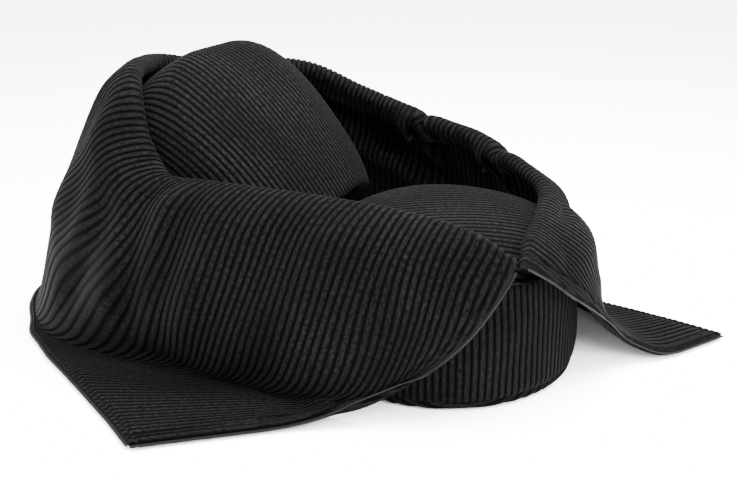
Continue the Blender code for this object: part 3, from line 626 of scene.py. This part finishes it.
def net_corners(s):
    """Rim, shoulder, middle, foot, fold and edge at places s; flap folds and cut edges are straight."""
    spots = [between(net[:, k], s) for k in range(6)]
    flat = ((s >= 10) & (s <= 12))[:, None]
    flap = ((s <= LEFT_FOLD) | (s >= RIGHT_FOLD))[:, None]
    spots[4] = np.where(flap, straight(net[:, 4], s), spots[4])
    spots[5] = np.where(flap | flat, straight(net[:, 5], s), spots[5])
    return spots


def unit(v):
    """Directions made one long."""
    return v / np.maximum(np.linalg.norm(v, axis=-1, keepdims=True), 1e-9)


def rib_lines(s):
    """The middle of the sheet from rim to bottom edge, as points [column, row]."""
    p = net_corners(s)
    found = [p[0]]
    for k, radius in enumerate(ROUNDING, start=1):
        back_way, on_way = p[k - 1] - p[k], p[k + 1] - p[k]
        share = 0.8 if k == 3 else 0.45
        trim = np.minimum(radius, np.minimum(0.45 * np.linalg.norm(back_way, axis=1),
                                             share * np.linalg.norm(on_way, axis=1)))[:, None]
        start, end = p[k] + unit(back_way) * trim, p[k] + unit(on_way) * trim
        bend = (start + 2 * p[k] + end) / 4
        found += [(found[-1] + bend) / 2, bend] if k == 2 else [start, bend, end]
    found += [(found[-1] + p[4]) / 2, p[4], p[5]]
    lines = np.stack(found, axis=1)
    for pouf in (seat, back):
        lines[:, :-2] = pouf.push_out(lines[:, :-2], HALF_SHEET + POUF_ROOM)
    length = np.cumsum(np.linalg.norm(np.diff(lines, axis=1), axis=2), axis=1)
    length = np.concatenate([np.zeros((len(s), 1)), length], axis=1)
    near_edge = np.array([0.020, 0.014, 0.0095, 0.006, 0.0035, 0.0015, 0.0005, 0.0])
    wanted = np.linspace(0, 1, ROWS - len(near_edge) + 1)[None, :-1] * (length[:, -1:] - 0.028)
    wanted = np.concatenate([wanted, length[:, -1:] - near_edge[None, :]], axis=1)
    fine = np.empty((len(s), ROWS, 3))
    for column in range(len(s)):
        for axis in range(3):
            fine[column, :, axis] = np.interp(wanted[column], length[column], lines[column, :, axis])
    free = slice(1, ROWS - len(near_edge) - 1)
    for _ in range(14):
        mean = (fine[:, :-2] + fine[:, 2:]) / 2
        fine[:, free] = 0.5 * fine[:, free] + 0.5 * mean[:, :free.stop - free.start]
    return fine, wanted


def wale_places():
    """Rib place s for a place counted in wales, with even wales along the rim and the wall."""
    s = np.linspace(0, last_rib, 900)
    p = net_corners(s)
    walked = sum(np.concatenate([[0], np.cumsum(np.linalg.norm(np.diff(p[k], axis=0), axis=1))])
                 * share for k, share in ((0, 0.5), (2, 0.5)))
    return s, walked / WALE


place_s, place_wale = wale_places()


TABLE = 2600
table_s = np.linspace(0, last_rib, TABLE)
table_mid, table_length = rib_lines(table_s)


def ease(x):
    """A soft step from 0 to 1."""
    x = np.clip(x, 0, 1)
    return x * x * (3 - 2 * x)


def hump(x, middle, reach):
    """A smooth bump of height 1."""
    return np.exp(-((x - middle) / reach) ** 2)


def drape(length):
    """Folds that the hanging cloth takes, as a way out of the sheet at each place."""
    s = table_s[:, None]
    share = length / length[:, -1:]
    wall = ease(share / 0.12) * ease((0.62 - share) / 0.14)
    soft = 0.0045 * np.sin(2.9 * s + 6.0 * share) + 0.0035 * np.sin(5.3 * s - 9.0 * share + 1.0)
    valley = -0.020 * hump(s, 6.25 + 0.5 * share, 0.30)
    valley = valley * ease((share - 0.12) / 0.15) * ease((0.80 - share) / 0.2)
    ripple = 0.007 * np.sin(7.5 * s + 5.0 * share) * hump(s, 5.0, 0.9)
    belly = 0.016 * hump(share, 0.44, 0.11) * ease((s - 0.4) / 0.8) * ease((5.2 - s) / 1.2)
    crease = -0.012 * hump(share, 0.60, 0.035) * ease(s / 0.6) * ease((5.4 - s) / 1.0)
    kink = -0.014 * hump(s, 14.55, 0.16) * ease((0.35 - share) / 0.3)
    kink = kink - 0.012 * hump(s, 16.6, 0.16) * ease((0.3 - share) / 0.3)
    return wall * (soft + ripple) + valley + belly + crease + kink


def sheet_directions():
    """The ways across, down and out of the sheet; its last stretch lies nearly level."""
    across = unit(np.gradient(table_mid, axis=0))
    down = unit(np.gradient(table_mid, axis=1))
    out = unit(np.cross(across, down))
    level = table_length[:, -1:] - table_length < 0.021
    return across, down, np.where(level[..., None], unit(out * 0.4 + (0, 0, 0.6)), out)


across_table, down_table, out_table = sheet_directions()
table_mid = table_mid + out_table * drape(table_length)[..., None]
table_mid[..., 2] -= RIM_SAG * np.exp(-(table_length / 0.06) ** 2)
for pouf in (seat, back):
    table_mid[:, 6:-14] = pouf.push_out(table_mid[:, 6:-14], HALF_SHEET + DRAPED_ROOM)
table_mid[..., 2] = np.maximum(table_mid[..., 2], LYING)
across_table, down_table, out_table = sheet_directions()
lie = ease((0.004 - (table_mid[..., 2] - LYING)) / 0.004)[..., None]
out_table = unit(out_table * (1 - lie) + np.array([0, 0, 1.0]) * lie)


def read_table(table, s):
    """The table's values at rib places s [column, row]."""
    at = np.clip(s, 0, last_rib) / last_rib * (TABLE - 1)
    low = np.clip(at.astype(int), 0, TABLE - 2)
    part = at - low
    row = np.arange(s.shape[1])[None, :]
    if table.ndim == 3:
        part = part[..., None]
    return table[low, row] * (1 - part) + table[low + 1, row] * part


def wale_drift(s, share):
    """The wales run off to the front edges, and slant towards the back at the left corner."""
    low = ease(share / 0.60)
    left = -1.0 * (1 - ease(s / 5.0)) * low
    corner = 1.6 * ease((s - 4.2) / 2.6) * ease((13.0 - s) / 3.5) * ease((share - 0.10) / 0.55)
    right = 0.8 * ease((s - 17.0) / 4.0) * low
    return left + corner + right


def hem_round(distance, radius):
    """Share of the full thickness near an edge, which closes in a half round."""
    return np.sqrt(np.clip(1 - (1 - np.clip(distance / radius, 0, 1)) ** 2, 0, 1))


def lining_fold(s, length):
    """Folds of the slack lining on the inside at the back right: a hanging roll and a second ridge."""
    right_back = ease((s - 10.3) / 1.0) * ease((17.2 - s) / 1.0)
    roll = 0.026 * hump(length, 0.035, 0.030)
    ridge = 0.050 * hump(length, 0.150 + 0.035 * (s - 12), 0.030) * ease((15.5 - s) / 1.5)
    ridge = ridge + 0.030 * hump(s, 14.1 + 3.0 * length, 0.16) * ease((0.20 - length) / 0.08)
    ridge = ridge + 0.026 * hump(s, 16.2 + 2.0 * length, 0.16) * ease((0.18 - length) / 0.08)
    left_roll = 0.016 * hump(length, 0.02, 0.03) * ease((s - 5.2) / 1.0) * ease((10.5 - s) / 1.0)
    return right_back * (roll + ridge) + left_roll


def wrap_panel(name, first, last):
    """A stretch of the sheet between two ribs: outside, rim roll and inside in one closed skin."""
    low, high = np.interp([first, last], place_s, place_wale)
    low = math.floor(low) if first > 0 else low
    high = math.floor(high) if last < last_rib else high
    first_step = math.ceil(low * STEPS_PER_WALE - 1e-6)
    last_step = math.floor(high * STEPS_PER_WALE + 1e-6)
    phase = np.arange(first_step, last_step + 1) / STEPS_PER_WALE
    phase = np.union1d(phase, [low, high])
    if first == 0:
        phase = np.union1d(phase, [0.02, 0.06, 0.18])
    if last == last_rib:
        phase = np.union1d(phase, high - np.array([0.02, 0.06, 0.18, 0.30]))
    start = np.interp(phase, place_wale, place_s)[:, None]
    share = np.linspace(0, 1, ROWS)[None, :]
    s = np.clip(start + wale_drift(start, share), 0, last_rib)
    mid, length = read_table(table_mid, s), read_table(table_length, s)
    out, down = unit(read_table(out_table, s)), unit(read_table(down_table, s))

    from_edge = read_table(table_length[:, -1:] * np.ones((1, ROWS)), s) - length
    far = np.full(s.shape, 1.0)
    from_left = np.linalg.norm(mid - table_mid[0][None], axis=2) if first == 0 else far
    from_right = np.linalg.norm(mid - table_mid[-1][None], axis=2) if last == last_rib else far
    from_side = np.minimum(from_left, from_right)
    closing = hem_round(from_side, 0.006) * hem_round(from_edge, 0.005)
    stitched = np.maximum(hump(from_side, SIDE_STITCH, 0.0022), hump(from_edge, EDGE_STITCH, 0.0024))
    if first > 0:
        stitched = np.maximum(stitched, hump((phase - phase[0])[:, None] * WALE, 0, 0.004))
    if last < last_rib:
        stitched = np.maximum(stitched, hump((phase[-1] - phase)[:, None] * WALE, 0, 0.004))
    hem = ease((HEM - from_side) / 0.002)
    rise = wale_height(phase)[:, None] * (1 - hem) + wale_height(from_side / HEM_RIDGE) * hem
    rise = rise * (1 - 0.8 * stitched)
    half = HALF_SHEET - CORD_DEPTH + rise - STITCH_DEPTH * stitched
    half = np.maximum(half, 0.0016) * closing
    calm = np.clip(from_side / 0.08, 0, 1)
    full = RIM_FULLNESS * np.exp(-(length / 0.045) ** 2) * calm
    outside = mid + out * (half + 2 * full)[..., None]
    inside = mid - out * (half + lining_fold(s, length) * calm)[..., None]
    roll = []
    inward = lining_fold(s, length)[:, :1] * calm[:, :1]
    for angle in np.radians(np.arange(162, 0, -18)):
        spread = (2 * half[:, :1] + 2 * full[:, :1] + inward) / 2
        centre = mid[:, 0] + out[:, 0] * (full[:, :1] - inward / 2)
        rising = np.minimum(spread, HALF_SHEET + 0.012)
        roll.append(centre + out[:, 0] * math.cos(angle) * spread - down[:, 0] * math.sin(angle) * rising)
    spots = np.concatenate([inside[:, ::-1], np.stack(roll, axis=1), outside], axis=1)
    over = np.linspace(-0.030, 0.0, len(roll) + 2)[None, 1:-1] * np.ones((len(phase), 1))
    walked = np.concatenate([-length[:, ::-1] - 0.030, over, length], axis=1)
    uv = np.stack([np.tile(phase[:, None] * WALE, (1, spots.shape[1])), walked], axis=-1)
    return lattice(name, spots, uv, black_cord)


left_wrap = wrap_panel("left_wrap", 0, 8.5)
back_wrap = wrap_panel("back_wrap", 8.5, 13.5)
right_wrap = wrap_panel("right_wrap", 13.5, last_rib)
for piece, nodes in ((left_wrap, ("left_cover", "left_wadding", "left_lining", "left_flap_cover",
                                  "left_flap_wadding", "left_flap_lining")),
                     (back_wrap, ("back_cover", "back_wadding", "back_lining")),
                     (right_wrap, ("right_cover", "right_wadding", "right_lining", "right_flap_cover",
                                   "right_flap_wadding", "right_flap_lining"))):
    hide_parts(*nodes)
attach(back_wrap, "wrap_and_poufs")
for side, piece in (("left", left_wrap), ("right", right_wrap)):
    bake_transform(piece)


# ------------------------------------------------------------------ zips
# One long zip closes the wrap: down both front edges, round the flaps and along the back. A woven
# tape stands out of the hem with a row of moulded teeth on it. The poufs have short zips near the
# base, and every slider has a flat pull.
TOOTH_PITCH = 0.0028
TOOTH = (0.0016, 0.0042, 0.0024)     # along the zip, outwards and thick
TAPE_STEP = 0.006         # between the cross-sections of the tape
TAPE_OUT = 0.0040
TAPE_IN = 0.003           # sewn into the hem this far
TAPE_HALF = 0.0005        # half its thickness


def plain_material(name, colour, roughness, metallic, shine, grain, depth):
    paint = bpy.data.materials.new(name)
    paint.use_nodes = True
    nodes, links = paint.node_tree.nodes, paint.node_tree.links
    shader = nodes["Principled BSDF"]
    shader.inputs["Metallic"].default_value = metallic
    shader.inputs["Specular IOR Level"].default_value = shine
    place = nodes.new("ShaderNodeTexCoord")
    noise = nodes.new("ShaderNodeTexNoise")
    noise.inputs["Scale"].default_value = grain
    noise.inputs["Detail"].default_value = 3.0
    links.new(place.outputs["Object"], noise.inputs["Vector"])
    tone = nodes.new("ShaderNodeMix")
    tone.data_type = "RGBA"
    tone.inputs["A"].default_value = (*[0.6 * x for x in colour], 1)
    tone.inputs["B"].default_value = (*[1.4 * x for x in colour], 1)
    links.new(noise.outputs["Fac"], tone.inputs["Factor"])
    links.new(tone.outputs["Result"], shader.inputs["Base Color"])
    rough = nodes.new("ShaderNodeMapRange")
    rough.inputs["To Min"].default_value = roughness - 0.1
    rough.inputs["To Max"].default_value = roughness + 0.1
    links.new(noise.outputs["Fac"], rough.inputs["Value"])
    links.new(rough.outputs["Result"], shader.inputs["Roughness"])
    bump = nodes.new("ShaderNodeBump")
    bump.inputs["Distance"].default_value = depth
    links.new(noise.outputs["Fac"], bump.inputs["Height"])
    links.new(bump.outputs["Normal"], shader.inputs["Normal"])
    return paint


tape_weave = plain_material("zip_tape_weave", (0.0022, 0.0022, 0.0024), 0.85, 0.0, 0.01, 1600, 0.0002)
tooth_plastic = plain_material("zip_tooth_plastic", (0.0035, 0.0035, 0.0040), 0.45, 0.0, 0.05, 900, 0.0001)
zip_metal = plain_material("zip_slider_metal", (0.040, 0.040, 0.044), 0.36, 1.0, 0.5, 700, 0.00005)


def edge_run(points, outward, normal, step):
    """A hem's points, outward and normal directions at even steps along it."""
    walked = np.concatenate([[0], np.cumsum(np.linalg.norm(np.diff(points, axis=0), axis=1))])
    steps = max(int(round(walked[-1] / step)), 2)
    want = np.linspace(0, walked[-1], steps + 1)
    spot, out, up = [np.stack([np.interp(want, walked, v[:, k]) for k in range(3)], axis=1)
                     for v in (points, outward, normal)]
    along = unit(np.gradient(spot, axis=0))
    out = unit(out - along * np.sum(out * along, axis=1, keepdims=True))
    up = unit(np.cross(along, out))
    up = up * np.sign(np.sum(up * normal[len(normal) // 2], axis=1, keepdims=True))
    return spot, along, out, up


def add_tape(build, run):
    """A thin strip from just inside the hem to its outer edge."""
    spot, _, out, up = run
    outline = ((-TAPE_IN, -TAPE_HALF), (TAPE_OUT, -TAPE_HALF), (TAPE_OUT, TAPE_HALF), (-TAPE_IN, TAPE_HALF))
    rings = []
    for here, o, u in zip(spot, out, up):
        rings.append([build.verts.new(here + o * x + u * z) for x, z in outline])
    for a, b in zip(rings, rings[1:]):
        for k in range(4):
            build.faces.new((a[k], a[(k + 1) % 4], b[(k + 1) % 4], b[k]))
    build.faces.new(rings[0][::-1])
    build.faces.new(rings[-1])


def add_teeth(build, run):
    """One moulded tooth per step, every other one set a little further out."""
    spot, along, out, up = run
    for k in range(len(spot)):
        middle = spot[k] + out[k] * (TAPE_OUT + TOOTH[1] / 2 - 0.0002 + 0.0004 * (k % 2))
        place = np.eye(4)
        place[:3, :3] = np.stack([along[k] * TOOTH[0], out[k] * TOOTH[1], up[k] * TOOTH[2]], axis=1)
        place[:3, 3] = middle
        bmesh.ops.create_cube(build, size=1.0, matrix=Matrix(place))


def zip_piece(name, runs, add, material, nodes):
    build = bmesh.new()
    for run in runs:
        add(build, run)
    bmesh.ops.recalc_face_normals(build, faces=build.faces)
    mesh = bpy.data.meshes.new(name)
    build.to_mesh(mesh)
    build.free()
    mesh.materials.append(material)
    piece = bpy.data.objects.new(name, mesh)
    bpy.context.scene.collection.objects.link(piece)
    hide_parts(*nodes)
    return piece


def hem_points(column):
    """A front edge's points, with the ways out of its edge and out of the sheet."""
    side = -1 if column == 0 else 1
    line, out = table_mid[column], out_table[column]
    return line[1:-2], across_table[column][1:-2] * side, out[1:-2]


def bottom_points(low, high):
    """The same for the bottom edge between two ribs."""
    part = (table_s >= low + 0.02) & (table_s <= high - 0.02)
    return table_mid[part, -1], down_table[part, -1], out_table[part, -1]


ZIP_PARTS = (("tape", add_tape, tape_weave, TAPE_STEP), ("teeth", add_teeth, tooth_plastic, TOOTH_PITCH))
for side, column, low, high in (("left", 0, 0, LEFT_FOLD), ("right", -1, RIGHT_FOLD, last_rib)):
    lines = hem_points(column), bottom_points(low, high)
    for kind, add, material, step in ZIP_PARTS:
        strip = zip_piece(f"{side}_zip_{kind}", [edge_run(*line, step) for line in lines], add, material,
                          (f"{side}_front_zip_{kind}", f"{side}_flap_zip_{kind}"))
        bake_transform(strip)
for kind, add, material, step in ZIP_PARTS:
    run = edge_run(*bottom_points(LEFT_FOLD, RIGHT_FOLD), step)
    strip = zip_piece(f"back_edge_zip_{kind}", [run], add, material, (f"back_zip_{kind}",))
    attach(strip, "wrap_and_poufs")

kept = {"zip_tape": tape_weave, "zip_teeth": tooth_plastic, "slider": zip_metal, "pull": zip_metal}
for node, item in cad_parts.items():
    for ending, material in kept.items():
        if node.endswith(ending) and not item.hide_render:
            item.data.materials.clear()
            item.data.materials.append(material)
